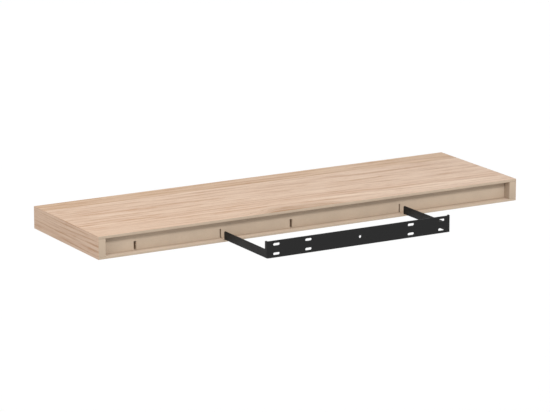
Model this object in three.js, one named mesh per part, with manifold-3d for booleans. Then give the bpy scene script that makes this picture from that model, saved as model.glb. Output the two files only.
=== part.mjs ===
// Floating wall shelf: a hollow oak-faced panel that slides onto a bent steel wall bracket.
// Millimetres, +Z up. The wall is the plane Y = 0 and the shelf's front faces -Y.
// The origin is the middle of the bracket plate's wall face.
// The panel stands as it does when it is offered up: the arm tips are just inside its rear edge.
import * as THREE from 'three';
import { mergeVertices } from 'three/addons/utils/BufferGeometryUtils.js';
import Module from 'manifold-3d';

// Shelf panel
const shelfLength = 800;
const shelfDepth = 235;
const shelfThickness = 38;
const topSkinThickness = 4.5;
const bottomSkinThickness = 3.5;
const railThickness = 12.5;
const bandThickness = 0.5;
const bandEdgeRadius = 0.4;
const glueLine = 0.2;
const recessDepth = 15;

// Bracket
const bracketLength = 345.5;
const sheetThickness = 1.5;
const bendRadius = 2.5;
const armLength = 141;
const armHeight = 14;
const earDepth = 8;
const earFillet = 1.5;
const upperCornerRadius = 2.5;
const tipLowerRadius = 1.5;

// Screw slots and the centre hole of the bracket plate
const screwSlotLength = 12;
const screwSlotWidth = 4.2;
const slotFromEdge = 6.25;
const slotFromEnd = 17;
const slotColumnSpacing = 59;
const centreHoleDiameter = 4.5;

// Play between the bracket and the panel
const playBelow = 0.5;
const playAboveArm = 0.3;
const playAbovePlate = 1.5;
const playBesideArm = 0.5;
const tipEngagement = 1;

// Slots in the rear rail, each carried on by a grooved rib
const bracketOffset = 2;
const spareSlotWidth = 4.8;
const outerSlotFromEnd = 73.5;
const innerSlotFromMiddle = 37;
const ribWidth = 32;

// Paper honeycomb
const cellSize = 22;
const paperThickness = 0.4;
const coreGap = 0.5;

// Distance that every cutting shape runs past the piece it cuts
const overrun = 5;

// Steps in a curve; an arc takes twice as many
const bendSteps = 4;
const cornerSteps = 2;
const holeSteps = 4;

// Heights above the panel's underside
const coreLow = bottomSkinThickness + glueLine;
const topSkinLow = shelfThickness - topSkinThickness;
const coreHigh = topSkinLow - glueLine;
const slotTop = bottomSkinThickness + playBelow + armHeight + playAboveArm;

// Bracket sizes that follow the panel
const plateHeight = topSkinLow - bottomSkinThickness - playBelow - playAbovePlate;
const plateLow = -plateHeight / 2;
const armTop = plateLow + armHeight;
const armSpacing = bracketLength - sheetThickness;
const armSlotWidth = sheetThickness + 2 * playBesideArm;

// Panel sizes, with X from its middle, Y from its rear edges and Z from its underside
const bodyLength = shelfLength - 2 * (bandThickness + glueLine);
const bodyDepth = shelfDepth - bandThickness - glueLine;
const insideHalf = bodyLength / 2 - railThickness;
const railFace = -recessDepth;
const railFront = railFace - railThickness;
const frontRailRear = -bodyDepth + railThickness;

// Places of the four slots across the panel, from its left end to its right
const slots = [
  { rib: 'arm_rib_left', x: -bracketOffset - armSpacing / 2, width: armSlotWidth },
  { rib: 'spare_rib_inner', x: innerSlotFromMiddle, width: spareSlotWidth },
  { rib: 'arm_rib_right', x: -bracketOffset + armSpacing / 2, width: armSlotWidth },
  { rib: 'spare_rib_outer', x: shelfLength / 2 - outerSlotFromEnd, width: spareSlotWidth },
];

const wasm = await Module();
wasm.setup();

const alongX = new THREE.Vector3(1, 0, 0);
const alongY = new THREE.Vector3(0, 1, 0);
const alongZ = new THREE.Vector3(0, 0, 1);

// Finishes
function oakVeneer() {
  return new THREE.MeshStandardMaterial({ color: 0xdabfa9, roughness: 0.55, metalness: 0 });
}

function rawBoard() {
  return new THREE.MeshStandardMaterial({ color: 0xbeab97, roughness: 0.85, metalness: 0 });
}

function kraftPaper() {
  return new THREE.MeshStandardMaterial({ color: 0xb08c64, roughness: 0.95, metalness: 0 });
}

function blackSteel() {
  return new THREE.MeshStandardMaterial({ color: 0x2e2d2d, roughness: 0.5, metalness: 0.3 });
}

function piece(name, geometry, material) {
  const mesh = new THREE.Mesh(geometry, material);
  mesh.name = name;
  return mesh;
}

// A flat outline given depth. The outline's first axis is X or Y, as the name says.
function extrude(outline, depth, steps = cornerSteps) {
  return new THREE.ExtrudeGeometry(outline, { depth, bevelEnabled: false, curveSegments: steps });
}

// Outline in Y and Z, extruded from x towards +X
function extrudeAlongX(outline, x, length, steps) {
  const geometry = extrude(outline, length, steps);
  geometry.applyMatrix4(new THREE.Matrix4().makeBasis(alongY, alongZ, alongX));
  return geometry.translate(x, 0, 0);
}

// Outline in X and Z, extruded from y towards -Y
function extrudeAlongY(outline, y, length, steps) {
  const geometry = extrude(outline, length, steps);
  geometry.applyMatrix4(new THREE.Matrix4().makeBasis(alongX, alongZ, alongY.clone().negate()));
  return geometry.translate(0, y, 0);
}

function toSolid(geometry) {
  const plain = geometry.clone();
  plain.deleteAttribute('normal');
  plain.deleteAttribute('uv');
  const merged = mergeVertices(plain);
  return new wasm.Manifold(new wasm.Mesh({
    numProp: 3,
    vertProperties: new Float32Array(merged.attributes.position.array),
    triVerts: new Uint32Array(merged.index.array),
  }));
}

function toGeometry(solid) {
  const mesh = solid.getMesh();
  const geometry = new THREE.BufferGeometry();
  geometry.setAttribute('position', new THREE.BufferAttribute(new Float32Array(mesh.vertProperties), 3));
  geometry.setIndex(new THREE.BufferAttribute(new Uint32Array(mesh.triVerts), 1));
  geometry.computeVertexNormals();
  return geometry;
}

// Bracket

// The bent sheet seen from above: the plate on the wall and an arm bent forward at each end
function bentSheetOutline() {
  const half = bracketLength / 2;
  const reach = -armLength - overrun;
  const bend = half - bendRadius;
  const innerRadius = bendRadius - sheetThickness;
  const outline = new THREE.Shape();
  outline.moveTo(-half, reach);
  outline.lineTo(-half, -bendRadius);
  outline.absarc(-bend, -bendRadius, bendRadius, Math.PI, Math.PI / 2, true);
  outline.lineTo(bend, 0);
  outline.absarc(bend, -bendRadius, bendRadius, Math.PI / 2, 0, true);
  outline.lineTo(half, reach);
  outline.lineTo(half - sheetThickness, reach);
  outline.lineTo(half - sheetThickness, -bendRadius);
  outline.absarc(bend, -bendRadius, innerRadius, 0, Math.PI / 2, false);
  outline.lineTo(-bend, -sheetThickness);
  outline.absarc(-bend, -bendRadius, innerRadius, Math.PI / 2, Math.PI, false);
  outline.lineTo(-half + sheetThickness, reach);
  outline.closePath();
  return outline;
}

// The bracket seen from its end: a full-height ear behind the plate, then the lower arm
function armProfile() {
  const outline = new THREE.Shape();
  const upper = upperCornerRadius;
  const lower = tipLowerRadius;
  outline.moveTo(overrun, plateLow);
  outline.lineTo(overrun, -plateLow);
  outline.lineTo(-earDepth + upper, -plateLow);
  outline.absarc(-earDepth + upper, -plateLow - upper, upper, Math.PI / 2, Math.PI, false);
  outline.lineTo(-earDepth, armTop + earFillet);
  outline.absarc(-earDepth - earFillet, armTop + earFillet, earFillet, 0, -Math.PI / 2, true);
  outline.lineTo(-armLength + upper, armTop);
  outline.absarc(-armLength + upper, armTop - upper, upper, Math.PI / 2, Math.PI, false);
  outline.lineTo(-armLength, plateLow + lower);
  outline.absarc(-armLength + lower, plateLow + lower, lower, Math.PI, 1.5 * Math.PI, false);
  outline.closePath();
  return outline;
}

// A slot with round ends, lying along X
function screwSlotOutline(x, z) {
  const radius = screwSlotWidth / 2;
  const straight = screwSlotLength / 2 - radius;
  const outline = new THREE.Shape();
  outline.moveTo(x - straight, z - radius);
  outline.lineTo(x + straight, z - radius);
  outline.absarc(x + straight, z, radius, -Math.PI / 2, Math.PI / 2, false);
  outline.lineTo(x - straight, z + radius);
  outline.absarc(x - straight, z, radius, Math.PI / 2, 1.5 * Math.PI, false);
  return outline;
}

function centreHoleOutline() {
  const outline = new THREE.Shape();
  outline.absarc(0, 0, centreHoleDiameter / 2, 0, Math.PI, false);
  outline.absarc(0, 0, centreHoleDiameter / 2, Math.PI, 2 * Math.PI, false);
  return outline;
}

// Two columns of two screw slots near each end of the plate, and a round hole in its middle
function plateHoles() {
  const outer = bracketLength / 2 - slotFromEnd;
  const inner = outer - slotColumnSpacing;
  const row = plateHeight / 2 - slotFromEdge;
  const outlines = [centreHoleOutline()];
  for (const x of [-outer, -inner, inner, outer]) {
    for (const z of [-row, row]) {
      outlines.push(screwSlotOutline(x, z));
    }
  }
  const depth = sheetThickness + 2 * overrun;
  return outlines.map((outline) => toSolid(extrudeAlongY(outline, overrun, depth, holeSteps)));
}

function wallBracket() {
  const sheet = extrude(bentSheetOutline(), plateHeight + 2 * overrun, bendSteps);
  sheet.translate(0, 0, plateLow - overrun);
  const sides = extrudeAlongX(armProfile(), -bracketLength / 2 - overrun, bracketLength + 2 * overrun);
  let solid = toSolid(sheet).intersect(toSolid(sides));
  for (const hole of plateHoles()) {
    solid = solid.subtract(hole);
  }
  return piece('wall_bracket', toGeometry(solid), blackSteel());
}

// Panel

// A rectangular board or bar between two corners
function board(name, low, high, material) {
  const size = high.map((value, axis) => value - low[axis]);
  const mesh = piece(name, new THREE.BoxGeometry(...size), material);
  mesh.position.set(...high.map((value, axis) => (value + low[axis]) / 2));
  return mesh;
}

function skins() {
  const half = bodyLength / 2;
  return [
    board('bottom_skin', [-half, -bodyDepth, 0], [half, 0, bottomSkinThickness], oakVeneer()),
    board('top_skin', [-half, -bodyDepth, topSkinLow], [half, 0, shelfThickness], oakVeneer()),
  ];
}

function endRails() {
  const half = bodyLength / 2;
  return [
    board('left_end_rail', [-half, -bodyDepth, coreLow], [-insideHalf, 0, coreHigh], rawBoard()),
    board('right_end_rail', [insideHalf, -bodyDepth, coreLow], [half, 0, coreHigh], rawBoard()),
  ];
}

function frontRail() {
  const half = insideHalf - glueLine;
  return board('front_rail', [-half, -bodyDepth, coreLow], [half, frontRailRear, coreHigh], rawBoard());
}

// A bar seen from behind, with saw cuts up from its lower edge, listed from left to right
function slottedOutline(left, right, cuts) {
  const outline = new THREE.Shape();
  outline.moveTo(left, coreHigh);
  outline.lineTo(left, coreLow);
  for (const cut of cuts) {
    outline.lineTo(cut.x - cut.width / 2, coreLow);
    outline.lineTo(cut.x - cut.width / 2, slotTop);
    outline.lineTo(cut.x + cut.width / 2, slotTop);
    outline.lineTo(cut.x + cut.width / 2, coreLow);
  }
  outline.lineTo(right, coreLow);
  outline.lineTo(right, coreHigh);
  outline.closePath();
  return outline;
}

function rearRail() {
  const half = insideHalf - glueLine;
  const outline = slottedOutline(-half, half, slots);
  return piece('rear_rail', extrudeAlongY(outline, railFace, railThickness), rawBoard());
}

// The ribs run from the rear rail to the front rail, each grooved in line with its slot
function ribs() {
  const rear = railFront - glueLine;
  const length = rear - (frontRailRear + glueLine);
  return slots.map((slot) => {
    const outline = slottedOutline(slot.x - ribWidth / 2, slot.x + ribWidth / 2, [slot]);
    return piece(slot.rib, extrudeAlongY(outline, rear, length), rawBoard());
  });
}

// Edge bands: thin strips whose outer long edges are eased. The outline's first axis points out.
function bandOutline(inner, outer) {
  const way = Math.sign(outer - inner);
  const eased = outer - way * bandEdgeRadius;
  const outline = new THREE.Shape();
  outline.moveTo(inner, 0);
  outline.lineTo(eased, 0);
  outline.quadraticCurveTo(outer, 0, outer, bandEdgeRadius);
  outline.lineTo(outer, shelfThickness - bandEdgeRadius);
  outline.quadraticCurveTo(outer, shelfThickness, eased, shelfThickness);
  outline.lineTo(inner, shelfThickness);
  outline.closePath();
  return outline;
}

function edgeBands() {
  const half = shelfLength / 2;
  const front = bandOutline(-shelfDepth + bandThickness, -shelfDepth);
  const left = bandOutline(-half + bandThickness, -half);
  const right = bandOutline(half - bandThickness, half);
  return [
    piece('front_edge_band', extrudeAlongX(front, -half, shelfLength), oakVeneer()),
    piece('left_edge_band', extrudeAlongY(left, 0, bodyDepth), oakVeneer()),
    piece('right_edge_band', extrudeAlongY(right, 0, bodyDepth), oakVeneer()),
  ];
}

// Honeycomb

// How many cells a bay takes, and their size once the paper is stretched to fill the bay.
// A cell has a corner at each end of X, at reach from its centre, and flats at rise in Y.
function fitCells(bay) {
  const width = bay.right - bay.left;
  const depth = bay.rear - bay.front;
  const columnPitch = cellSize * Math.cos(Math.PI / 6);
  const columns = Math.max(2, Math.round(width / columnPitch - 1 / 3));
  const rows = Math.max(1, Math.round(depth / cellSize - 1 / 2));
  return { columns, rows, reach: width / (1.5 * columns + 0.5), rise: depth / (2 * rows + 1) };
}

function cellCentre(bay, cells, column, row) {
  return new THREE.Vector2(
    bay.left + cells.reach * (1 + 1.5 * column),
    bay.front + cells.rise * (1 + 2 * row + (column % 2)),
  );
}

function cellCorners(centre, cells) {
  const shares = [[1, 0], [0.5, 1], [-0.5, 1], [-1, 0], [-0.5, -1], [0.5, -1]];
  return shares.map(([x, y]) => new THREE.Vector2(centre.x + x * cells.reach, centre.y + y * cells.rise));
}

// The glued flats are two papers thick, so each cell gives up a whole paper there.
// A slanted wall is one paper, shared with the neighbour where there is one.
function wallInsets(cells, column, row) {
  const step = column % 2;
  const has = (c, r) => c >= 0 && c < cells.columns && r >= 0 && r < cells.rows;
  const slanted = (c, r) => (has(c, r) ? paperThickness / 2 : paperThickness);
  return [
    slanted(column + 1, row + step),
    paperThickness,
    slanted(column - 1, row + step),
    slanted(column - 1, row + step - 1),
    paperThickness,
    slanted(column + 1, row + step - 1),
  ];
}

// The corner where two edges meet once each has moved in by its own inset
function insetCorner(before, corner, after, insetBefore, insetAfter) {
  const first = corner.clone().sub(before).normalize();
  const second = after.clone().sub(corner).normalize();
  const turn = first.cross(second);
  return corner.clone()
    .addScaledVector(first, -insetAfter / turn)
    .addScaledVector(second, insetBefore / turn);
}

function cellHole(bay, cells, column, row) {
  const corners = cellCorners(cellCentre(bay, cells, column, row), cells);
  const insets = wallInsets(cells, column, row);
  const last = corners.length - 1;
  return new THREE.Path(corners.map((corner, index) => insetCorner(
    corners[index === 0 ? last : index - 1], corner, corners[index === last ? 0 : index + 1],
    insets[index === 0 ? last : index - 1], insets[index],
  )));
}

// The zigzag outside of the core, traced round its outermost cells
function coreOutline(bay, cells) {
  const corners = (column, row, picks) => {
    const all = cellCorners(cellCentre(bay, cells, column, row), cells);
    return picks.map((pick) => all[pick]);
  };
  const points = [];
  const lastColumn = cells.columns - 1;
  const lastRow = cells.rows - 1;
  for (let column = 0; column <= lastColumn; column += 1) {
    points.push(...corners(column, 0, [4, 5]));
  }
  for (let row = 0; row <= lastRow; row += 1) {
    points.push(...corners(lastColumn, row, row < lastRow ? [0, 1] : [0]));
  }
  for (let column = lastColumn; column >= 0; column -= 1) {
    points.push(...corners(column, lastRow, [1, 2]));
  }
  for (let row = lastRow; row >= 0; row -= 1) {
    points.push(...corners(0, row, row > 0 ? [3, 4] : [3]));
  }
  return points;
}

function honeycomb(name, bay) {
  const cells = fitCells(bay);
  const outline = new THREE.Shape(coreOutline(bay, cells));
  for (let column = 0; column < cells.columns; column += 1) {
    for (let row = 0; row < cells.rows; row += 1) {
      outline.holes.push(cellHole(bay, cells, column, row));
    }
  }
  const geometry = extrude(outline, coreHigh - coreLow).translate(0, 0, coreLow);
  return piece(name, geometry, kraftPaper());
}

// One core fills each bay between two ribs, or between a rib and an end rail
function cores() {
  const walls = [
    { left: -insideHalf, right: -insideHalf },
    ...slots.map((slot) => ({ left: slot.x - ribWidth / 2, right: slot.x + ribWidth / 2 })),
    { left: insideHalf, right: insideHalf },
  ];
  return walls.slice(1).map((wall, index) => honeycomb(`honeycomb_core_${index + 1}`, {
    left: walls[index].right + coreGap,
    right: wall.left - coreGap,
    front: frontRailRear + coreGap,
    rear: railFront - coreGap,
  }));
}

// The panel carries its own origin: the middle of its rear edges, at its underside
function shelfPanel() {
  const panel = new THREE.Group();
  panel.add(...skins(), ...endRails(), frontRail(), rearRail(), ...ribs(), ...cores(), ...edgeBands());
  panel.position.set(bracketOffset, tipEngagement - armLength, plateLow - playBelow - bottomSkinThickness);
  return panel;
}

const wallShelf = new THREE.Group();
wallShelf.add(wallBracket(), shelfPanel());

export default wallShelf;
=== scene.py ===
"""Finished look of a hollow floating wall shelf and the folded steel bracket it slides onto.

Metres, +Z up, +Y into the wall. The origin is the middle of the bracket plate's wall face.
"""

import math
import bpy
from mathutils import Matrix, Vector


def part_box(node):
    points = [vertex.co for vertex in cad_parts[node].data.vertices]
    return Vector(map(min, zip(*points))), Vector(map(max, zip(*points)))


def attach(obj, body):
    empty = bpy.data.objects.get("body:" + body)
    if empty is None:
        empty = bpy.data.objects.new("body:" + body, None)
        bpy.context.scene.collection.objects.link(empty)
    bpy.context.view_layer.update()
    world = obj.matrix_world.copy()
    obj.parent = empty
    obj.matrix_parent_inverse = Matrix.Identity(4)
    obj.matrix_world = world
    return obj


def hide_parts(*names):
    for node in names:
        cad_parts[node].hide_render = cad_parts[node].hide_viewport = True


bl_info = {
    "name": "Floating Wall Shelf",
    "version": (1, 0, 0),
    "blender": (4, 5, 0),
    "location": "View3D > Sidebar > Wall Shelf",
    "description": "Makes a hollow oak-faced wall shelf with its folded steel bracket",
    "category": "Add Mesh",
}

import bmesh
import bpy
from bpy.props import FloatProperty, FloatVectorProperty, IntProperty, PointerProperty
from mathutils import Matrix, Vector

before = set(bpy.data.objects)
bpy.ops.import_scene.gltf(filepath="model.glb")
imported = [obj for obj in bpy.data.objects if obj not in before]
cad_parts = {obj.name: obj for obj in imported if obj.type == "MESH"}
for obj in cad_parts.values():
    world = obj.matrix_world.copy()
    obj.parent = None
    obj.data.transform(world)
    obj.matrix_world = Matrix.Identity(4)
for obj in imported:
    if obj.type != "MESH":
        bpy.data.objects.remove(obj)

MM = 0.001
PANEL = "panel"
BRACKET = "bracket"
WHITE = (1.0, 1.0, 1.0, 1.0)

# Two points closer than the first are one, and joined sheets are welded over the second
SAME_POINT = 0.001 * MM
WELD = 10 * SAME_POINT

# Faces that turn less than the first are one flat face, and a turn over the second is an edge
FLAT_TURN = math.radians(1)
SHARP_TURN = math.radians(30)

# Faces along a rounded edge, corner or bend, and round the floor
EASE_STEPS = 2
COAT_STEPS = 3
BAND_STEPS = 6
CORNER_STEPS = 8
BEND_STEPS = 12
FLOOR_STEPS = 64

# Round slot ends take a hair under half of the width, so that no edge between them vanishes
ROUND_SHARE = 0.4999

# Share of the paper's thickness by which a honeycomb cell is drawn in at its pointed ends
POINT_SHARE = 0.6

# Between one node and the next in the node editor
NODE_STEP = 200

# Further off than any part of the shelf
FAR = 9.0

# Waves to the metre in each layer of the oak's grain: along it, and twice across it
DRIFT_WAVES = (1.9, 11.0, 11.0)
FIGURE_WAVES = (14.0, 70.0, 70.0)
BAND_WAVES = (0.7, 32.0, 32.0)
LINE_WAVES = (8.0, 125.0, 125.0)
DASH_WAVES = (30.0, 110.0, 110.0)
SPACING_WAVES = (2.5, 22.0, 22.0)
FIBRE_WAVES = (16.0, 620.0, 620.0)
PORE_WAVES = (95.0, 2400.0, 2400.0)

# Along each axis, in the patches of the heartwood and in the uneven honeycomb
PATCH_WAVES = (9.0, 40.0, 1.0)
PAPER_WAVES = (55.0, 55.0, 55.0)

# Threads of grain to the metre, and how many of them a change of their spacing can add
THREADS = 65.0
ADDED_THREADS = 3.0

# How much each layer of the grain lightens the foil, and its middle, where it does nothing
TONES = {
    "Bands": (0.16, 0.5),
    "Lines": (0.4, 0.425),
    "Fibres": (0.4, 0.5),
    "Dashes": (-0.1, 0.0),
    "Threads": (-0.2, 0.0),
}

# What a change of tone and the figure do to red, green and blue: darker grain is also warmer
TONE_TINT = (0.75, 1.2, 1.56)
FIGURE_TINT = (-0.24, -0.29, -0.35)

# Half the width over which a growth ring ends
RING_EDGE = 1.5 * MM


def linear(hex_colour):
    """A colour written as six hex digits, as linear red, green and blue."""
    parts = [int(hex_colour[i:i + 2], 16) / 255 for i in (0, 2, 4)]
    return tuple(p / 12.92 if p <= 0.04045 else ((p + 0.055) / 1.055) ** 2.4 for p in parts)


# Settings


def length(name, description, millimetres):
    """A size setting, given in millimetres."""
    return FloatProperty(name=name, description=description, default=millimetres * MM, min=0,
                         unit="LENGTH", subtype="DISTANCE", precision=4)


def lengths(name, description, *millimetres):
    """A setting of several sizes, given in millimetres."""
    return FloatVectorProperty(name=name, description=description, size=len(millimetres),
                               default=[value * MM for value in millimetres], unit="LENGTH")


def shares(name, description, *values):
    """A setting of several shares of one."""
    return FloatVectorProperty(name=name, description=description, size=len(values),
                               default=values)


def number(name, description, default):
    """A setting of a plain number."""
    return FloatProperty(name=name, description=description, default=default)


def angle(name, description, degrees):
    """An angle setting, given in degrees."""
    return FloatProperty(name=name, description=description, default=math.radians(degrees),
                         unit="ROTATION", subtype="ANGLE")


def colour(name, description, hex_colour):
    """A colour setting."""
    return FloatVectorProperty(name=name, description=description, default=linear(hex_colour),
                               size=3, min=0, max=1, subtype="COLOR")


class WallShelfPanelSettings(bpy.types.PropertyGroup):
    """Sizes of the panel's edges and of its paper core"""

    board_ease: length("Board Ease", "Rounding along the edges of boards and skins", 0.2)
    band_radius: length("Band Radius", "Rounding of the oak bands' outer edges", 0.4)
    cell_size: length("Cell Size", "Width of a honeycomb cell across its flats", 22)
    paper: length("Paper", "Thickness of one honeycomb paper", 0.4)
    unevenness: length("Unevenness", "How far the paper strays from a true hexagon", 1.2)
    seed: IntProperty(name="Seed", description="Changes how the paper strays", default=4, min=0)


class WallShelfBracketSettings(bpy.types.PropertyGroup):
    """Sizes of the folded steel bracket"""

    sheet: length("Sheet", "Thickness of the steel sheet", 1.5)
    bend_radius: length("Bend Radius", "Outer radius of the two bends", 2.5)
    arm_height: length("Arm Height", "Height of the arms", 14)
    ear_depth: length("Ear Depth", "How far the full height runs on past the wall face", 8)
    ear_fillet: length("Ear Fillet", "Radius where the ear steps down to the arm", 1.5)
    upper_corner: length("Upper Corner", "Radius of the ear's and tip's upper corner", 2.5)
    tip_lower: length("Tip Lower Corner", "Radius of the tip's lower corner", 1.5)
    slot_length: length("Slot Length", "Length of a screw slot", 12)
    slot_width: length("Slot Width", "Width of a screw slot", 4.2)
    slot_from_edge: length("Slot From Edge", "From the plate's edge to a row of slots", 6.25)
    slot_from_end: length("Slot From End", "From the plate's end to the outer slots", 17)
    column_spacing: length("Column Spacing", "Between the two columns of slots at an end", 59)
    hole_diameter: length("Hole Diameter", "Diameter of the hole in the middle", 4.5)
    coat_radius: length("Coat Radius", "Rounding that the coat gives sheared edges", 0.25)


class WallShelfFinishSettings(bpy.types.PropertyGroup):
    """Colours and patterns of the finishes"""

    oak: colour("Oak", "Pale oak foil", "d9bba2")
    heart: colour("Heartwood", "Tanner band along the front of the top", "cfae8f")
    pore: colour("Pore", "Pores of the oak", "8f6b51")
    board: colour("Board", "Pressed faces of the rear rail, front rail and ribs", "beac98")
    # Painted shade: the end rails' inner walls in the recess are coloured darker than the other
    # board
    end_rail_shade: colour("Shaded End Board", "End rails' faces, darkened by painted shade in the recess", "b09d89")
    sawn: colour("Sawn Edge", "Sawn edges of rails, ribs and skins", "bba893")
    inside: colour("Skin Inside", "Pale sanded inner face of the skins", "d4c1ae")
    fibre: colour("Fibre", "Dark fibres of the fibreboard", "9c8369")
    # Painted shade: the skins' inner faces darken near the rear rail's back, in the recess
    # corners
    joint_shade_width: length("Joint Shade Width", "How far the painted shade at the rear rail's back spreads over a skin", 8)
    joint_shade_depth: number("Joint Shade Depth", "How dark the painted shade makes the skin", 0.4)
    paper: colour("Paper", "Brown honeycomb paper", "b08c64")
    coat: colour("Coat", "Black powder coat", "151515")
    fan: number("Fan", "How far the grain leans at the rear", 0.05)
    waver: length("Waver", "How far the grain wanders across its own way", 5)
    rings: lengths("Rings", "From the front edge to each growth ring's end", 49, 79, 184, 210)
    ragged: length("Ragged", "How far the rings' ends follow the fine grain", 12)
    rises: lengths("Rises", "How wide each ring darkens before its end", 26, 8, 24, 36)
    falls: lengths("Falls", "How wide the pale wood past each ring is", 26, 6, 60, 30)
    darks: shares("Darks", "How much darker each ring grows", 0.05, 0.06, 0.08, 0.09)
    pales: shares("Pales", "How much paler the wood past each ring is", 0.045, 0.0, 0.1, 0.02)
    figure_place: length("Figure Place", "From the middle to the arched rear figure", 24)
    figure_length: length("Figure Length", "Half the length of the arched figure", 120)
    figure_width: length("Figure Width", "How far the arched figure reaches in", 38)


class WallShelfStageSettings(bpy.types.PropertyGroup):
    """Camera, lights and floor"""

    target: FloatVectorProperty(name="Target", description="Point that the camera looks at",
                                default=(10.47 * MM, -257.5 * MM, -2.96 * MM), size=3,
                                unit="LENGTH", subtype="TRANSLATION")
    distance: length("Distance", "From the camera to its target", 5206)
    azimuth: angle("Azimuth", "Way round the shelf, from its front", 150.07)
    elevation: angle("Elevation", "How far above the shelf the camera stands", 13.88)
    lens: number("Lens", "Focal length in millimetres", 202.67)
    sky: number("Sky", "Strength of the even light all round", 0.68)
    key: number("Key", "Strength of the key light", 1.5)
    key_width: angle("Key Width", "How wide the key light is, seen from the shelf", 11)
    key_azimuth: angle("Key Azimuth", "Way round to the key light", 180)
    key_elevation: angle("Key Elevation", "Height of the key light", 37)
    fill: number("Fill", "Strength of the fill light", 0.52)
    fill_width: angle("Fill Width", "How wide the fill light is, seen from the shelf", 30)
    fill_azimuth: angle("Fill Azimuth", "Way round to the fill light", 120)
    fill_elevation: angle("Fill Elevation", "Height of the fill light", 14)
    floor_drop: length("Floor Drop", "From the bracket's middle down to the floor", 900)
    floor_radius: length("Floor Radius", "Radius of the round floor", 60_000)
    floor: colour("Floor", "Light that the floor throws back", "cccccc")


# Node trees


class Wiring:
    """Adds nodes to a tree from left to right, and links or sets what each one reads"""

    def __init__(self, tree):
        self.tree = tree

    def feed(self, socket, value):
        if isinstance(value, bpy.types.NodeSocket):
            self.tree.links.new(value, socket)
        else:
            socket.default_value = value

    def node(self, kind, inputs=None, **settings):
        node = self.tree.nodes.new(kind)
        node.location.x = NODE_STEP * len(self.tree.nodes)
        for name, value in settings.items():
            setattr(node, name, value)
        for key, value in (inputs or {}).items():
            self.feed(node.inputs[key], value)
        return node

    def geometry(self, kind, inputs=None, **settings):
        """The first output of a geometry node."""
        return self.node("GeometryNode" + kind, inputs, **settings).outputs[0]

    def math(self, operation, *values):
        inputs = dict(enumerate(values))
        return self.node("ShaderNodeMath", inputs, operation=operation).outputs[0]

    def plus(self, first, second):
        return self.math("ADD", first, second)

    def minus(self, first, second):
        return self.math("SUBTRACT", first, second)

    def over(self, first, second):
        return self.math("DIVIDE", first, second)

    def times(self, first, second, added=0.0):
        """The product of two values, with a third added to it."""
        return self.math("MULTIPLY_ADD", first, second, added)

    def vector(self, operation, *values, output="Vector"):
        inputs = dict(enumerate(values))
        return self.node("ShaderNodeVectorMath", inputs, operation=operation).outputs[output]

    def scaled(self, vector, factor):
        inputs = {"Vector": vector, "Scale": factor}
        return self.node("ShaderNodeVectorMath", inputs, operation="SCALE").outputs[0]

    def split(self, vector):
        return self.node("ShaderNodeSeparateXYZ", {"Vector": vector}).outputs

    def joined(self, x=0.0, y=0.0, z=0.0):
        return self.node("ShaderNodeCombineXYZ", {"X": x, "Y": y, "Z": z}).outputs[0]

    def even(self, value):
        """The same value along all three axes."""
        return self.joined(value, value, value)

    def noise(self, vector, waves, detail=2.0, roughness=0.5, output="Fac"):
        """Noise whose waves to the metre are given for each axis."""
        spread = self.vector("MULTIPLY", vector, waves)
        inputs = {"Vector": spread, "Scale": 1.0, "Detail": detail, "Roughness": roughness}
        return self.node("ShaderNodeTexNoise", inputs).outputs[output]

    def swing(self, vector, waves, detail=2.0):
        """Noise that swings to both sides of nothing, along each axis."""
        noise = self.noise(vector, waves, detail, output="Color")
        return self.vector("SUBTRACT", noise, (0.5, 0.5, 0.5))

    def step(self, value, low, high, to_low=0.0, to_high=1.0):
        """Runs smoothly from one value to another as the first goes from low to high."""
        inputs = dict(enumerate((value, low, high, to_low, to_high)))
        way = "SMOOTHSTEP"
        return self.node("ShaderNodeMapRange", inputs, interpolation_type=way).outputs[0]

    def blend(self, factor, first, second, way="MIX"):
        inputs = {0: factor, 6: first, 7: second}
        return self.node("ShaderNodeMix", inputs, data_type="RGBA", blend_type=way).outputs[2]


def new_tree(name, kind, inputs, outputs):
    """The wiring of a new tree, whose sockets are listed by their kinds, and the inputs in it."""
    tree = bpy.data.node_groups.new(name, kind)
    for way, kinds in (("INPUT", inputs), ("OUTPUT", outputs)):
        for socket, labels in kinds.items():
            for label in labels:
                tree.interface.new_socket(label, in_out=way, socket_type="NodeSocket" + socket)
    wiring = Wiring(tree)
    return wiring, wiring.node("NodeGroupInput").outputs


def close_tree(wiring, values):
    """Feed the tree's outputs, by name."""
    wiring.node("NodeGroupOutput", values)


def named_group(name, build):
    """The node group of that name, built the first time it is asked for."""
    return bpy.data.node_groups.get(name) or build(name)


# Shader groups


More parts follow.
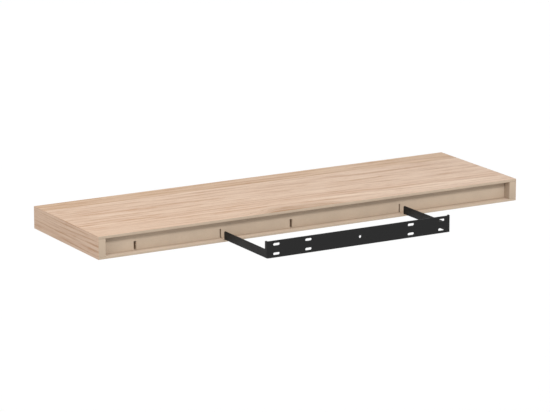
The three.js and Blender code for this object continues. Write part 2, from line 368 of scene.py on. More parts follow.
def build_oak_grain(name):
    """Plain sawn oak, with X along the grain and Y and Z across it, in metres."""
    wiring, entry = new_tree(name, "ShaderNodeTree", {
        "Vector": ["Vector", "Figure Place", "Figure Size"],
        "Float": ["Seed", "Waver"],
    }, {
        "Float": ["Across", "Figure", "Bands", "Lines", "Dashes", "Threads", "Fibres", "Pores"],
    })
    place = wiring.vector("ADD", entry["Vector"], wiring.even(entry["Seed"]))

    # The grain wanders slowly to each side
    drift = wiring.swing(place, DRIFT_WAVES, detail=1.0)
    drift = wiring.scaled(drift, wiring.times(entry["Waver"], 2.0))
    drift = wiring.vector("MULTIPLY", drift, (0.0, 1.0, 1.0))
    across = wiring.split(wiring.vector("ADD", entry["Vector"], drift))["Y"]

    # It bends round the figure, an oval with a ragged edge in which the grain arches
    ragged = wiring.scaled(wiring.swing(place, FIGURE_WAVES), 0.6)
    ragged = wiring.vector("MULTIPLY", ragged, entry["Figure Size"])
    apart = wiring.vector("SUBTRACT", entry["Vector"], entry["Figure Place"])
    apart = wiring.vector("ADD", apart, ragged)
    apart = wiring.vector("DIVIDE", apart, entry["Figure Size"])
    apart = wiring.vector("LENGTH", apart, output="Value")
    figure = wiring.step(apart, 0.35, 1.0, 1.0, 0.0)
    push = wiring.times(figure, wiring.split(entry["Figure Size"])["Y"])
    bent = wiring.vector("ADD", place, drift)
    bent = wiring.vector("ADD", bent, wiring.joined(y=push))

    # Broad bands, long lines, short dashes and fine fibres
    bands = wiring.noise(bent, BAND_WAVES)
    lines = wiring.noise(bent, LINE_WAVES, detail=3.0, roughness=0.62)
    dashes = wiring.step(wiring.noise(bent, DASH_WAVES, roughness=0.55), 0.52, 0.7)
    fibres = wiring.noise(bent, FIBRE_WAVES, roughness=0.6)

    # Thin threads, evenly spread but for slow changes of their spacing, and faint in pale lines
    turns = wiring.noise(bent, SPACING_WAVES, detail=1.0)
    turns = wiring.times(turns, ADDED_THREADS)
    turns = wiring.times(wiring.split(bent)["Y"], THREADS, turns)
    threads = wiring.math("COSINE", wiring.times(turns, 2 * math.pi))
    threads = wiring.step(threads, 0.0, 1.0)
    threads = wiring.times(threads, wiring.step(lines, 0.42, 0.58, 1.0, 0.35))

    # Pores, which gather in dark lines
    specks = wiring.noise(bent, PORE_WAVES, detail=1.0)
    gathered = wiring.step(lines, 0.35, 0.6, 0.12, 0.0)
    pores = wiring.step(wiring.plus(specks, gathered), 0.58, 0.68)
    close_tree(wiring, {"Across": across, "Figure": figure, "Bands": bands, "Lines": lines,
                        "Dashes": dashes, "Threads": threads, "Fibres": fibres, "Pores": pores})
    return wiring.tree


def build_fleck(name):
    """Small specks and large soft clouds, for fibreboard, paper and powder coat."""
    wiring, entry = new_tree(name, "ShaderNodeTree", {
        "Vector": ["Vector", "Speck Stretch"],
        "Float": ["Speck Size", "Cloud Size"],
    }, {"Float": ["Specks", "Clouds"]})
    drawn = wiring.vector("DIVIDE", entry["Vector"], entry["Speck Stretch"])
    fine = wiring.scaled(drawn, wiring.over(1.0, entry["Speck Size"]))
    specks = wiring.noise(fine, (1.0, 1.0, 1.0), roughness=0.6)
    coarse = wiring.scaled(entry["Vector"], wiring.over(1.0, entry["Cloud Size"]))
    clouds = wiring.noise(coarse, (1.0, 1.0, 1.0))
    close_tree(wiring, {"Specks": specks, "Clouds": clouds})
    return wiring.tree


# Materials


def new_material(name):
    """A material with a Principled surface, its wiring and its Object coordinates."""
    material = bpy.data.materials.new(name)
    material.use_nodes = True
    wiring = Wiring(material.node_tree)
    place = wiring.node("ShaderNodeTexCoord").outputs["Object"]
    return material, wiring, place


def feed_surface(wiring, base, rough, specular, height, distance, strength):
    """Feed a material's Principled surface, whose bump follows a height."""
    inputs = {"Height": height, "Distance": distance, "Strength": strength}
    values = {
        "Base Color": base,
        "Roughness": rough,
        "Specular IOR Level": specular,
        "Normal": wiring.node("ShaderNodeBump", inputs).outputs["Normal"],
    }
    for name, value in values.items():
        wiring.feed(wiring.tree.nodes["Principled BSDF"].inputs[name], value)


def placed_group(wiring, name, build, values):
    """The outputs of the node group of that name, fed with named values."""
    tree = named_group(name, build)
    return wiring.node("ShaderNodeGroup", values, node_tree=tree).outputs


def leaning(wiring, settings, parts, front, rear):
    """The place across a grain that is true at the front and leans more towards the rear."""
    lean = wiring.times(parts[0], settings.fan / (rear - front))
    deep = wiring.minus(parts[1], front)
    return wiring.times(lean, deep, parts[1])


def heartwood(wiring, settings, place, across):
    """How tan the wood is, in patches, from the front to the first growth ring's end."""
    edge = settings.rings[0]
    heart = wiring.step(across, edge - RING_EDGE, edge + RING_EDGE, 1.0, 0.0)
    patch = wiring.step(wiring.noise(place, PATCH_WAVES), 0.38, 0.62, 0.65, 1.0)
    return wiring.times(heart, patch)


def growth_rings(wiring, settings, along, across, darkness):
    """The darkness with that of the growth rings added, and 1 past the last of them.

    Each ring darkens slowly towards the rear and ends at once in paler wood. The last one starts
    at the figure, and the one before it is half as strong beyond there.
    """
    beyond = wiring.step(along, settings.figure_place - settings.figure_length,
                         settings.figure_place + settings.figure_length)
    weights = (1.0, 1.0, wiring.times(beyond, -0.5, 1.0), beyond)
    rings = zip(settings.rings, settings.rises, settings.falls, settings.darks, settings.pales,
                weights)
    for edge, rise, fall, dark, pale, weight in rings:
        before = wiring.step(across, edge - rise, edge - RING_EDGE, 0.0, dark)
        past = wiring.step(across, edge, edge + 2 * RING_EDGE)
        after = wiring.step(across, edge, edge + fall, -pale, 0.0)
        ring = wiring.node("ShaderNodeMix", {0: past, 2: before, 3: after}).outputs[0]
        darkness = wiring.times(ring, weight, darkness)
    return darkness, past


def oak_foil(name, order, seed, contrast, fineness=1.0, darkness=0.0, front=None, rear=None):
    """Pale oak foil. The order of the axes puts the one along the grain first.

    A foil with a front and a rear has growth rings too, and an arched figure at its rear.
    """
    settings = bpy.context.scene.wall_shelf_finish
    material, wiring, place = new_material(name)
    parts = wiring.split(place)
    parts = [parts[axis] for axis in order]
    if front is not None:
        parts[1] = leaning(wiring, settings, parts, front, rear)
    grain = placed_group(wiring, "Oak grain", build_oak_grain, {
        "Vector": wiring.vector("MULTIPLY", wiring.joined(*parts), (1.0, fineness, fineness)),
        "Seed": seed,
        "Waver": settings.waver,
        "Figure Place": (settings.figure_place, rear or FAR, 0.0),
        "Figure Size": (settings.figure_length, settings.figure_width, FAR),
    })

    base = (*settings.oak, 1.0)
    strength = contrast
    if front is not None:
        across = wiring.minus(grain["Across"], front)
        across = wiring.times(grain["Lines"], settings.ragged, across)
        heart = heartwood(wiring, settings, place, across)
        base = wiring.blend(heart, base, (*settings.heart, 1.0))
        darkness, past = growth_rings(wiring, settings, parts[0], across, darkness)

        # Past the last ring the wood is calm
        strength = wiring.times(past, -0.5 * contrast, contrast)
        strength = wiring.times(grain["Figure"], 0.2 * contrast, strength)

    tone = 0.0
    for layer, (weight, middle) in TONES.items():
        off_middle = wiring.minus(grain[layer], middle)
        tone = wiring.times(off_middle, weight, tone)
    tone = wiring.times(tone, strength)
    tone = wiring.minus(tone, darkness)
    tint = wiring.vector("MULTIPLY_ADD", wiring.even(tone), TONE_TINT, (1.0, 1.0, 1.0))
    streaks = wiring.step(grain["Lines"], 0.38, 0.62, 1.2, 0.8)
    figure = wiring.times(grain["Figure"], streaks)
    tint = wiring.vector("MULTIPLY_ADD", wiring.even(figure), FIGURE_TINT, tint)
    base = wiring.blend(1.0, base, tint, "MULTIPLY")
    pores = wiring.times(grain["Pores"], 0.22)
    base = wiring.blend(pores, base, (*settings.pore, 1.0))

    rough = wiring.times(grain["Fibres"], 0.16, 0.46)
    height = wiring.times(grain["Pores"], -1.0, grain["Fibres"])
    feed_surface(wiring, base, rough, 0.35, height, 0.05 * MM, 0.5)
    return material


def joint_shaded(wiring, settings, place, base, dark):
    """The colour of a skin's inner face, darkened by painted shade near the rear rail's back in
    the recess.
    """
    off = wiring.minus(wiring.split(place)["Y"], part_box("rear_rail")[1].y)
    off = wiring.math("ABSOLUTE", off)
    joint_shade = wiring.step(off, 0.3 * settings.joint_shade_width, settings.joint_shade_width,
                         settings.joint_shade_depth, 0.0)
    return wiring.blend(joint_shade, base, dark)


def build_flecked(name, shade, speck, stretch, bump, cloud=35 * MM, strength=0.3, roughness=0.9,
                  dark="fibre", specular=0.5, with_joint_shade=False):
    """A matt or satin surface with small dark specks and soft clouds."""
    settings = bpy.context.scene.wall_shelf_finish
    material, wiring, place = new_material(name)
    fleck = placed_group(wiring, "Fleck", build_fleck, {
        "Vector": place,
        "Speck Size": speck,
        "Speck Stretch": stretch,
        "Cloud Size": cloud,
    })
    base = (*getattr(settings, shade), 1.0)
    dark = (*getattr(settings, dark), 1.0)
    dots = wiring.times(wiring.step(fleck["Specks"], 0.5, 0.75), strength)
    base = wiring.blend(dots, base, dark)
    clouds = wiring.step(fleck["Clouds"], 0.3, 0.7, 1.0 - 0.2 * strength, 1.0 + 0.1 * strength)
    base = wiring.blend(1.0, base, wiring.even(clouds), "MULTIPLY")
    # Painted shade on the skins' inner faces along the rear rail's back
    if with_joint_shade:
        base = joint_shaded(wiring, settings, place, base, dark)
    rough = wiring.step(fleck["Clouds"], 0.3, 0.7, roughness - 0.04, roughness + 0.04)
    feed_surface(wiring, base, rough, specular, fleck["Specks"], bump, 0.6)
    return material


FLECKED = {
    "Pressed fibreboard": dict(
        shade="board", speck=0.7 * MM, stretch=(2.0, 1.0, 1.0), bump=0.06 * MM, strength=0.25,
        roughness=0.85),
    # The end rails' board, darkened as painted shade for their inner walls in the recess
    "Shade-darkened fibreboard": dict(
        shade="end_rail_shade", speck=0.7 * MM, stretch=(1.0, 2.0, 1.0), bump=0.06 * MM),
    "Sawn fibreboard": dict(
        shade="sawn", speck=0.6 * MM, stretch=(1.0, 1.0, 2.0), bump=0.08 * MM),
    # The skins' inner faces carry painted shade along the rear rail's back
    "Sanded fibreboard": dict(
        shade="inside", speck=0.9 * MM, stretch=(3.0, 3.0, 1.0), bump=0.02 * MM, cloud=60 * MM,
        strength=0.18, roughness=0.75, with_joint_shade=True),
    "Kraft paper": dict(
        shade="paper", speck=0.5 * MM, stretch=(1.0, 1.0, 5.0), bump=0.04 * MM, cloud=20 * MM),
    "Black powder coat": dict(
        shade="coat", speck=0.9 * MM, stretch=(1.0, 1.0, 1.0), bump=0.015 * MM, cloud=30 * MM,
        strength=0.2, roughness=0.52, dark="coat", specular=0.22),
}


def flecked(name):
    """The board, paper or coat of that name, built the first time it is asked for."""
    return bpy.data.materials.get(name) or build_flecked(name, **FLECKED[name])


# Pieces


def new_object(name, data):
    """An object for a mesh, a camera or a light, in the scene."""
    made = bpy.data.objects.new(name, data)
    bpy.context.scene.collection.objects.link(made)
    return made


def add_piece(name, mesh, body, nodes):
    """An object for a finished mesh, riding on its body in place of the nodes it stands for."""
    piece = new_object(name, mesh)
    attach(piece, body)
    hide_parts(*nodes)
    return piece


def ease_edges(piece, width, steps):
    """Round the sharp edges a little and keep the flat faces flat."""
    piece.data.shade_smooth()
    bevel = piece.modifiers.new("Eased edges", "BEVEL")
    bevel.width = width
    bevel.segments = steps
    bevel.limit_method = "ANGLE"
    bevel.angle_limit = SHARP_TURN
    bevel.harden_normals = True


def merged_copy(node):
    """A node's shape with its shared points merged and its flat faces whole."""
    shape = bmesh.new()
    shape.from_mesh(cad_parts[node].data)
    bmesh.ops.remove_doubles(shape, verts=shape.verts, dist=SAME_POINT)
    bmesh.ops.dissolve_limit(shape, angle_limit=FLAT_TURN, verts=shape.verts, edges=shape.edges)
    for face in shape.faces:
        face.material_index = 0
    return shape


def to_mesh(shape, name, materials):
    """A mesh of that name from a shape, which is freed."""
    mesh = bpy.data.meshes.new(name)
    shape.to_mesh(mesh)
    shape.free()
    for material in materials:
        mesh.materials.append(material)
    return mesh


def add_board(name, node, broad):
    """A bare board with eased edges in a node's place, sawn all round its two broad faces."""
    low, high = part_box(node)
    thin = min(range(3), key=lambda axis: high[axis] - low[axis])
    shape = merged_copy(node)
    for face in shape.faces:
        if abs(face.normal[thin]) < 0.5:
            face.material_index = 1
    mesh = to_mesh(shape, name, [flecked(broad), flecked("Sawn fibreboard")])
    piece = add_piece(name, mesh, PANEL, [node])
    ease_edges(piece, bpy.context.scene.wall_shelf_panel.board_ease, EASE_STEPS)


def add_skin(name, node, side, foil):
    """A thin skin with oak foil on its outer face, above for side 1 and below for side -1."""
    shape = merged_copy(node)
    for face in shape.faces:
        outward = face.normal.z * side
        if abs(outward) < 0.5:
            face.material_index = 1
        elif outward < 0:
            face.material_index = 2
    materials = [foil, flecked("Sawn fibreboard"), flecked("Sanded fibreboard")]
    piece = add_piece(name, to_mesh(shape, name, materials), PANEL, [node])
    ease_edges(piece, bpy.context.scene.wall_shelf_panel.board_ease, EASE_STEPS)


def box_shape(low, high):
    """A rectangular shape between two corners."""
    shape = bmesh.new()
    size = high - low
    place = Matrix.Translation((low + high) / 2) @ Matrix.Diagonal((*size, 1.0))
    bmesh.ops.create_cube(shape, size=1.0, matrix=place)
    return shape


def add_band(name, node, outward, foil):
    """A thin oak strip whose two long outer edges are rounded."""
    low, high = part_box(node)
    shape = box_shape(low, high)
    outward = Vector(outward)
    reach = max(vert.co.dot(outward) for vert in shape.verts)
    along = outward.cross((0, 0, 1))
    outer = [edge for edge in shape.edges
             if all(vert.co.dot(outward) > reach - SAME_POINT for vert in edge.verts)
             and abs((edge.verts[1].co - edge.verts[0].co).normalized().dot(along)) > 0.5]
    bmesh.ops.bevel(shape, geom=outer, offset=bpy.context.scene.wall_shelf_panel.band_radius,
                    segments=BAND_STEPS, profile=0.5, affect="EDGES")
    mesh = to_mesh(shape, name, [foil])
    mesh.shade_smooth()
    mesh.set_sharp_from_angle(angle=SHARP_TURN)
    add_piece(name, mesh, PANEL, [node])


# Geometry nodes


def evaluated_mesh(name, tree, values, base=None):
    """The mesh that a geometry tree makes from its named values and a base shape."""
    carrier = new_object(name, base or bpy.data.meshes.new(name))
    modifier = carrier.modifiers.new(tree.name, "NODES")
    modifier.node_group = tree
    for item in tree.interface.items_tree:
        if item.in_out == "INPUT" and item.name in values:
            modifier[item.identifier] = values[item.name]
    graph = bpy.context.evaluated_depsgraph_get()
    mesh = bpy.data.meshes.new_from_object(carrier.evaluated_get(graph))
    carrier.modifiers.remove(modifier)
    bpy.data.objects.remove(carrier)
    if not mesh.polygons:
        raise RuntimeError(f"the tree {tree.name} made nothing for {name}")
    return mesh


def named_values(settings):
    """The values of a group of settings, by the names that the sidebar shows."""
    properties = settings.bl_rna.properties
    return {properties[key].name: getattr(settings, key) for key in settings.__annotations__}


def thickened(wiring, flat, offset):
    """A flat mesh given depth along an offset, closed underneath."""
    inputs = {"Mesh": flat, "Offset": offset, "Individual": False}
    raised = wiring.node("GeometryNodeExtrudeMesh", inputs, mode="FACES").outputs["Mesh"]
    under = wiring.geometry("FlipFaces", {"Mesh": flat})
    return merged(wiring, together(wiring, raised, under))


def together(wiring, *parts):
    node = wiring.node("GeometryNodeJoinGeometry")
    for part in reversed(parts):
        wiring.tree.links.new(part, node.inputs[0])
    return node.outputs[0]


def merged(wiring, geometry):
    inputs = {"Geometry": geometry, "Distance": WELD}
    return wiring.geometry("MergeByDistance", inputs)


def moved(wiring, geometry, translation=(0.0, 0.0, 0.0), scale=(1.0, 1.0, 1.0)):
    inputs = {"Geometry": geometry, "Translation": translation, "Scale": scale}
    return wiring.geometry("Transform", inputs)


def realized(wiring, geometry):
    return wiring.geometry("RealizeInstances", {"Geometry": geometry})


def finished_geometry(wiring, geometry, material):
    """End a tree in plain geometry that carries its material."""
    inputs = {"Geometry": realized(wiring, geometry), "Material": material}
    close_tree(wiring, {"Geometry": wiring.geometry("SetMaterial", inputs)})


def build_honeycomb(name):
    """Expanded paper honeycomb that fills a bay between two corners."""
    wiring, entry = new_tree(name, "GeometryNodeTree", {
        "Vector": ["Low", "High"],
        "Float": ["Cell Size", "Paper", "Unevenness"],
        "Int": ["Seed"],
        "Material": ["Material"],
    }, {"Geometry": ["Geometry"]})
    width, depth, height = wiring.split(wiring.vector("SUBTRACT", entry["High"], entry["Low"]))

    # How many cells the bay takes, and their size once the paper is stretched to fill it
    pitch = wiring.times(entry["Cell Size"], math.cos(math.pi / 6))
    columns = wiring.minus(wiring.over(width, pitch), 1 / 3)
    columns = wiring.math("MAXIMUM", wiring.math("ROUND", columns), 2.0)
    rows = wiring.minus(wiring.over(depth, entry["Cell Size"]), 0.5)
    rows = wiring.math("MAXIMUM", wiring.math("ROUND", rows), 1.0)
    reach = wiring.over(width, wiring.times(columns, 1.5, 0.5))
    rise = wiring.over(depth, wiring.times(rows, 2.0, 1.0))

    # One point for each cell, with every second column half a cell further back
    index = wiring.geometry("InputIndex")
    column = wiring.math("FLOORED_MODULO", index, columns)
    row = wiring.math("FLOOR", wiring.over(index, columns))
    x = wiring.times(reach, wiring.times(column, 1.5, 1.0))
    half_step = wiring.math("FLOORED_MODULO", column, 2.0)
    y = wiring.plus(wiring.times(row, 2.0, 1.0), half_step)
    y = wiring.times(rise, y)
    place = wiring.vector("ADD", entry["Low"], wiring.joined(x, y))
    inputs = {"Count": wiring.times(columns, rows), "Position": place}
    points = wiring.geometry("Points", inputs)

    inputs = {"Vertices": 6, "Radius": 1.0}
    cell = wiring.geometry("MeshCircle", inputs, fill_type="NGON")
    size = wiring.joined(reach, wiring.over(rise, math.sin(math.pi / 3)), 1.0)
    cell = moved(wiring, cell, scale=size)
    inputs = {"Points": points, "Instance": cell}
    cells = wiring.geometry("InstanceOnPoints", inputs)
    cells = merged(wiring, realized(wiring, cells))

    # Each cell is drawn in by its paper: two papers lie at the flats where cells are bonded, one
    # elsewhere
    inputs = {"Mesh": cells, "Offset Scale": 0.0, "Individual": True}
    rims = wiring.node("GeometryNodeExtrudeMesh", inputs, mode="FACES")
    inner = rims.outputs["Top"]
    point = wiring.over(entry["Paper"], reach)
    point = wiring.times(point, POINT_SHARE)
    flat = wiring.over(entry["Paper"], rise)
    shape = rims.outputs["Mesh"]
    for share, axis in ((point, (1.0, 0.0, 0.0)), (flat, (0.0, 1.0, 0.0))):
        inputs = {"Geometry": shape, "Selection": inner, "Axis": axis,
                  "Scale": wiring.minus(1.0, share)}
        scaled = wiring.node("GeometryNodeScaleElements", inputs, scale_mode="SINGLE_AXIS")
        shape = scaled.outputs[0]
    inputs = {"Geometry": shape, "Selection": inner}
    walls = wiring.geometry("DeleteGeometry", inputs, domain="FACE")

    # The paper strays from a true hexagon, but not at the edges of the bay
    here = wiring.geometry("InputPosition")
    inside = wiring.vector("MINIMUM", wiring.vector("SUBTRACT", here, entry["Low"]),
                           wiring.vector("SUBTRACT", entry["High"], here))
    inside = wiring.split(inside)
    inside = wiring.math("MINIMUM", inside["X"], inside["Y"])
    free = wiring.step(inside, 0.0, entry["Cell Size"])
    shifted = wiring.vector("ADD", here, wiring.joined(entry["Seed"]))
    stray = wiring.swing(shifted, PAPER_WAVES, detail=1.0)
    stray = wiring.vector("MULTIPLY", stray, (2.0, 2.0, 0.0))
    stray = wiring.scaled(stray, wiring.times(free, entry["Unevenness"]))
    inputs = {"Geometry": walls, "Offset": stray}
    walls = wiring.geometry("SetPosition", inputs)

    core = thickened(wiring, walls, wiring.joined(z=height))
    finished_geometry(wiring, core, entry["Material"])
    return wiring.tree


def build_folded_sheet(name):
    """A steel strip punched with screw slots and folded forward at both ends.

    The strip is laid out flat first: X along it, Y up and Z through the sheet from its wall face.
    The arm, drawn flat from the end of its bend, comes in as the base shape.
    """
    wiring, entry = new_tree(name, "GeometryNodeTree", {
        "Geometry": ["Geometry"],
        "Float": ["Flat Length", "Height", "Sheet", "Bend Radius", "Bend Length", "Slot Length",
                  "Slot Width", "Slot Centre", "Column Spacing", "Row Spacing", "Hole Diameter"],
        "Int": ["Bend Steps", "Round Steps"],
        "Material": ["Material"],
    }, {"Geometry": ["Geometry"]})
    half = wiring.over(entry["Flat Length"], 2.0)

    # A slot with round ends, repeated in two columns and two rows at each end of the plate
    inputs = {"Width": entry["Slot Length"], "Height": entry["Slot Width"]}
    slot = wiring.geometry("CurvePrimitiveQuadrilateral", inputs)
    radius = wiring.times(entry["Slot Width"], ROUND_SHARE)
    inputs = {"Curve": slot, "Count": entry["Round Steps"], "Radius": radius,
              "Limit Radius": True}
    slot = wiring.geometry("FilletCurve", inputs, mode="POLY")
    inputs = {"Size X": entry["Column Spacing"], "Size Y": entry["Row Spacing"],
              "Vertices X": 2, "Vertices Y": 2}
    places = wiring.geometry("MeshGrid", inputs)
    right = moved(wiring, places, wiring.joined(entry["Slot Centre"]))
    left = wiring.times(entry["Slot Centre"], -1.0)
    left = moved(wiring, places, wiring.joined(left))
    inputs = {"Points": together(wiring, right, left), "Instance": slot}
    slots = realized(wiring, wiring.geometry("InstanceOnPoints", inputs))

    steps = wiring.times(entry["Round Steps"], 4.0)
    inputs = {"Resolution": steps, "Radius": wiring.over(entry["Hole Diameter"], 2.0)}
    hole = wiring.node("GeometryNodeCurvePrimitiveCircle", inputs).outputs["Curve"]
    inputs = {"Width": entry["Flat Length"], "Height": entry["Height"]}
    edge = wiring.geometry("CurvePrimitiveQuadrilateral", inputs)
    outline = together(wiring, edge, slots, hole)
    inputs = {"Curve": outline}
    plate = wiring.geometry("FillCurve", inputs, mode="NGONS")

    # The bend and the arm at the right, and their mirror image at the left
    count = wiring.plus(entry["Bend Steps"], 1.0)
    inputs = {"Size X": entry["Bend Length"], "Size Y": entry["Height"],
              "Vertices X": count, "Vertices Y": 2}
    bend = wiring.geometry("MeshGrid", inputs)
    middle = wiring.times(entry["Bend Length"], 0.5, half)
    bend = moved(wiring, bend, wiring.joined(middle))
    bend_end = wiring.plus(half, entry["Bend Length"])
    arm = moved(wiring, entry["Geometry"], wiring.joined(bend_end))
    right = together(wiring, bend, arm)
    left = moved(wiring, right, scale=(-1.0, 1.0, 1.0))
    left = wiring.geometry("FlipFaces", {"Mesh": left})
    strip = merged(wiring, together(wiring, plate, right, left))
    strip = thickened(wiring, strip, wiring.joined(z=entry["Sheet"]))

    # Past the plate the strip first turns a quarter circle and then runs straight forward
    x, y, z = wiring.split(wiring.geometry("InputPosition"))
    past = wiring.minus(wiring.math("ABSOLUTE", x), half)
    past = wiring.math("MAXIMUM", past, 0.0)
    turned = wiring.math("MINIMUM", wiring.over(past, entry["Bend Length"]), 1.0)
    turned = wiring.times(turned, math.pi / 2)
    straight = wiring.minus(past, entry["Bend Length"])
    straight = wiring.math("MAXIMUM", straight, 0.0)
    from_centre = wiring.minus(entry["Bend Radius"], z)
    out = wiring.times(from_centre, wiring.math("SINE", turned))
    out = wiring.times(out, wiring.math("SIGN", x))
    kept = wiring.math("MAXIMUM", x, wiring.times(half, -1.0))
    kept = wiring.math("MINIMUM", kept, half)
    back = wiring.times(from_centre, wiring.math("COSINE", turned))
    back = wiring.minus(back, entry["Bend Radius"])
    back = wiring.minus(back, straight)
    folded = wiring.joined(wiring.plus(kept, out), back, y)
    inputs = {"Geometry": strip, "Position": folded}
    strip = wiring.geometry("SetPosition", inputs)
    finished_geometry(wiring, strip, entry["Material"])
    return wiring.tree


def arc(x, y, radius, start, end):
    """Points along an arc round a centre, between two angles in degrees."""
    turns = [start + (end - start) * step / CORNER_STEPS for step in range(CORNER_STEPS + 1)]
    return [(x + radius * math.cos(math.radians(turn)), y + radius * math.sin(math.radians(turn)))
            for turn in turns]


def arm_blank(settings, height, reach):
    """The flat ear and arm, from the end of the bend to the tip, as one face."""
    low = -height / 2
    high = height / 2
    top = low + settings.arm_height
    ear = settings.ear_depth - settings.bend_radius
    fillet = settings.ear_fillet
    upper = settings.upper_corner
    lower = settings.tip_lower
    outline = [
        (0, low),
        *arc(reach - lower, low + lower, lower, -90, 0),
        *arc(reach - upper, top - upper, upper, 0, 90),
        *arc(ear + fillet, top + fillet, fillet, 270, 180),
        *arc(ear - upper, high - upper, upper, 0, 90),
        (0, high),
    ]
    shape = bmesh.new()
    shape.faces.new([shape.verts.new((x, y, 0)) for x, y in outline])
    return to_mesh(shape, "arm_blank", [])


def add_bracket():
    """The folded steel bracket, from the plate's box and the sheet's own sizes."""
    settings = bpy.context.scene.wall_shelf_bracket
    low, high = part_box("wall_bracket")
    long, deep, tall = high - low
    neutral = settings.bend_radius - settings.sheet / 2
    outer = long / 2 - settings.slot_from_end
    values = named_values(settings) | {
        "Flat Length": long - 2 * settings.bend_radius,
        "Height": tall,
        "Bend Length": neutral * math.pi / 2,
        "Bend Steps": BEND_STEPS,
        "Slot Centre": outer - settings.column_spacing / 2,
        "Row Spacing": tall - 2 * settings.slot_from_edge,
        "Round Steps": CORNER_STEPS,
        "Material": flecked("Black powder coat"),
    }
    base = arm_blank(settings, tall, deep - settings.bend_radius)
    tree = named_group("Folded sheet", build_folded_sheet)
    mesh = evaluated_mesh("folded_steel_bracket", tree, values, base)
    piece = add_piece("folded_steel_bracket", mesh, BRACKET, ["wall_bracket"])
    ease_edges(piece, settings.coat_radius, COAT_STEPS)


def add_core(node, number):
    """One block of paper honeycomb in its bay."""
    settings = bpy.context.scene.wall_shelf_panel
    low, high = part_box(node)
    values = named_values(settings) | {
        "Low": low,
        "High": high,
        "Seed": settings.seed + number,
        "Material": flecked("Kraft paper"),
    }
    name = f"paper_core_{number}"
    mesh = evaluated_mesh(name, named_group("Paper honeycomb", build_honeycomb), values)
    add_piece(name, mesh, PANEL, [node])


# Stage


def away(azimuth, elevation):
    """The direction towards a point round and above the shelf; azimuth 0 is its front."""
    level = math.cos(elevation)
    return Vector((math.sin(azimuth) * level, -math.cos(azimuth) * level, math.sin(elevation)))


def add_camera(settings):
    camera = new_object("Camera", bpy.data.cameras.new("Camera"))
    camera.data.lens = settings.lens
    back = away(settings.azimuth, settings.elevation)
    camera.location = Vector(settings.target) + back * settings.distance
    camera.rotation_euler = back.to_track_quat("Z", "Y").to_euler()
    bpy.context.scene.camera = camera


def add_light(name, strength, width, azimuth, elevation):
    """A soft light so far off that it reaches every part from the same side."""
    light = bpy.data.lights.new(name, "SUN")
    light.energy = strength
    light.angle = width
    sun = new_object(name, light)
    sun.rotation_euler = away(azimuth, elevation).to_track_quat("Z", "Y").to_euler()


def seen_directly(wiring):
    """1 where the camera, a reflection or glass looks, and 0 for the light that it gives."""
    path = wiring.node("ShaderNodeLightPath").outputs
    seen = wiring.math("MAXIMUM", path["Is Camera Ray"], path["Is Glossy Ray"])
    return wiring.math("MAXIMUM", seen, path["Is Transmission Ray"])


def add_sky(settings):
    world = bpy.data.worlds.new("Studio")
    world.use_nodes = True
    bpy.context.scene.world = world
    wiring = Wiring(world.node_tree)
    background = world.node_tree.nodes["Background"]
    background.inputs["Color"].default_value = WHITE
    strength = wiring.step(seen_directly(wiring), 0.0, 1.0, settings.sky, 1.0)
    wiring.feed(background.inputs["Strength"], strength)


def floor_finish(settings):
    """A matt floor that looks white, keeps shadows, and isn't seen from below."""
    material = bpy.data.materials.new("Pale floor")
    material.use_nodes = True
    tree = material.node_tree
    tree.nodes.remove(tree.nodes["Principled BSDF"])
    wiring = Wiring(tree)
    tint = wiring.blend(seen_directly(wiring), (*settings.floor, 1.0), WHITE)
    matt = wiring.node("ShaderNodeBsdfDiffuse", {"Color": tint}).outputs[0]
    clear = wiring.node("ShaderNodeBsdfTransparent").outputs[0]
    below = wiring.node("ShaderNodeNewGeometry").outputs["Backfacing"]
    mixed = wiring.node("ShaderNodeMixShader", {0: below, 1: matt, 2: clear}).outputs[0]
    wiring.feed(tree.nodes["Material Output"].inputs["Surface"], mixed)
    return material


def add_floor(settings):
    shape = bmesh.new()
    place = Matrix.Translation((0, 0, -settings.floor_drop))
    bmesh.ops.create_circle(shape, cap_ends=True, segments=FLOOR_STEPS,
                            radius=settings.floor_radius, matrix=place)
    bmesh.ops.recalc_face_normals(shape, faces=shape.faces)
    floor = new_object("Floor", to_mesh(shape, "Floor", [floor_finish(settings)]))


# Operators


class WALLSHELF_OT_stage(bpy.types.Operator):
    """Set up the camera, the light and the floor"""

    bl_idname = "wall_shelf.stage"
    bl_label = "Stage"

    def execute(self, context):
        settings = context.scene.wall_shelf_stage
        add_camera(settings)
        add_light("Key", settings.key, settings.key_width, settings.key_azimuth,
                  settings.key_elevation)
        add_light("Fill", settings.fill, settings.fill_width, settings.fill_azimuth,
                  settings.fill_elevation)
        add_sky(settings)
        add_floor(settings)
        context.scene.view_settings.view_transform = "Standard"
        return {"FINISHED"}


class WALLSHELF_OT_skins(bpy.types.Operator):
    """Make the top and bottom skins, with oak foil on their outer faces"""

    bl_idname = "wall_shelf.skins"
    bl_label = "Skins"

    def execute(self, context):
        low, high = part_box("top_skin")
        edges = {"front": low.y, "rear": high.y}
        foil = oak_foil("Oak foil top", "XYZ", seed=3.1, contrast=1.0, **edges)
        add_skin("oak_top_skin", "top_skin", 1, foil)
        foil = oak_foil("Oak foil underside", "XYZ", seed=8.6, contrast=1.0, **edges)
        add_skin("oak_bottom_skin", "bottom_skin", -1, foil)
        return {"FINISHED"}


class WALLSHELF_OT_bands(bpy.types.Operator):
    """Make the oak bands along the panel's front and ends"""

    bl_idname = "wall_shelf.bands"
    bl_label = "Edge Bands"

    def execute(self, context):
        foil = oak_foil("Oak foil front", "XZY", seed=5.3, contrast=1.0)
        add_band("front_oak_band", "front_edge_band", (0, -1, 0), foil)
        foil = oak_foil("Oak foil ends", "YZX", seed=1.7, contrast=0.9, fineness=2.0,
                        darkness=0.06)
        add_band("left_oak_band", "left_edge_band", (-1, 0, 0), foil)
        add_band("right_oak_band", "right_edge_band", (1, 0, 0), foil)
        return {"FINISHED"}


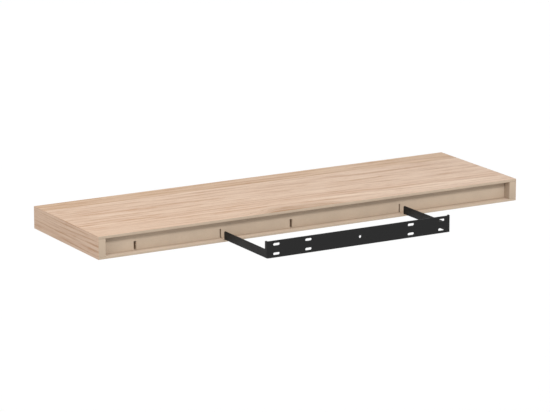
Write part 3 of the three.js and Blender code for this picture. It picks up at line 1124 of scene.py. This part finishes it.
class WALLSHELF_OT_rails(bpy.types.Operator):
    """Make the boards that close the panel's ends, front and slotted rear"""

    bl_idname = "wall_shelf.rails"
    bl_label = "Rails"

    def execute(self, context):
        # The end rails take the darker board, painted shade for their inner walls in the recess
        for side in ("left_end", "right_end"):
            add_board(f"{side}_board", f"{side}_rail", "Shade-darkened fibreboard")
        for side in ("front", "rear"):
            add_board(f"{side}_board", f"{side}_rail", "Pressed fibreboard")
        return {"FINISHED"}


class WALLSHELF_OT_ribs(bpy.types.Operator):
    """Make the grooved ribs behind the four slots"""

    bl_idname = "wall_shelf.ribs"
    bl_label = "Ribs"

    def execute(self, context):
        for rib in ("arm_rib_left", "arm_rib_right", "spare_rib_inner", "spare_rib_outer"):
            add_board(f"{rib}_board", rib, "Pressed fibreboard")
        return {"FINISHED"}


class WALLSHELF_OT_cores(bpy.types.Operator):
    """Fill the bays between the ribs with paper honeycomb"""

    bl_idname = "wall_shelf.cores"
    bl_label = "Honeycomb"

    def execute(self, context):
        nodes = sorted(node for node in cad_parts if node.startswith("honeycomb_core"))
        for number, node in enumerate(nodes, start=1):
            add_core(node, number)
        return {"FINISHED"}


class WALLSHELF_OT_bracket(bpy.types.Operator):
    """Make the folded steel bracket"""

    bl_idname = "wall_shelf.bracket"
    bl_label = "Bracket"

    def execute(self, context):
        add_bracket()
        return {"FINISHED"}


class WALLSHELF_PT_sidebar(bpy.types.Panel):
    """Settings of the wall shelf and the steps that make it"""

    bl_idname = "WALLSHELF_PT_sidebar"
    bl_label = "Wall Shelf"
    bl_space_type = "VIEW_3D"
    bl_region_type = "UI"
    bl_category = "Wall Shelf"

    def draw(self, context):
        for group in SETTINGS:
            settings = getattr(context.scene, group)
            box = self.layout.box()
            box.label(text=group.split("_")[-1].title())
            for name in settings.__annotations__:
                box.prop(settings, name)
        steps = self.layout.column(align=True)
        for operator in OPERATORS:
            steps.operator(operator.bl_idname)


SETTINGS = {
    "wall_shelf_panel": WallShelfPanelSettings,
    "wall_shelf_bracket": WallShelfBracketSettings,
    "wall_shelf_finish": WallShelfFinishSettings,
    "wall_shelf_stage": WallShelfStageSettings,
}
OPERATORS = (
    WALLSHELF_OT_stage,
    WALLSHELF_OT_skins,
    WALLSHELF_OT_bands,
    WALLSHELF_OT_rails,
    WALLSHELF_OT_ribs,
    WALLSHELF_OT_cores,
    WALLSHELF_OT_bracket,
)


def register():
    for cls in (*SETTINGS.values(), *OPERATORS, WALLSHELF_PT_sidebar):
        bpy.utils.register_class(cls)
    for name, cls in SETTINGS.items():
        setattr(bpy.types.Scene, name, PointerProperty(type=cls))


def unregister():
    for name in SETTINGS:
        delattr(bpy.types.Scene, name)
    for cls in reversed((*SETTINGS.values(), *OPERATORS, WALLSHELF_PT_sidebar)):
        bpy.utils.unregister_class(cls)


def main():
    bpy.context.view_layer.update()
    register()
    bpy.ops.wall_shelf.stage()
    bpy.ops.wall_shelf.skins()
    bpy.ops.wall_shelf.bands()
    bpy.ops.wall_shelf.rails()
    bpy.ops.wall_shelf.ribs()
    bpy.ops.wall_shelf.cores()
    bpy.ops.wall_shelf.bracket()


if __name__ == "__main__":
    main()
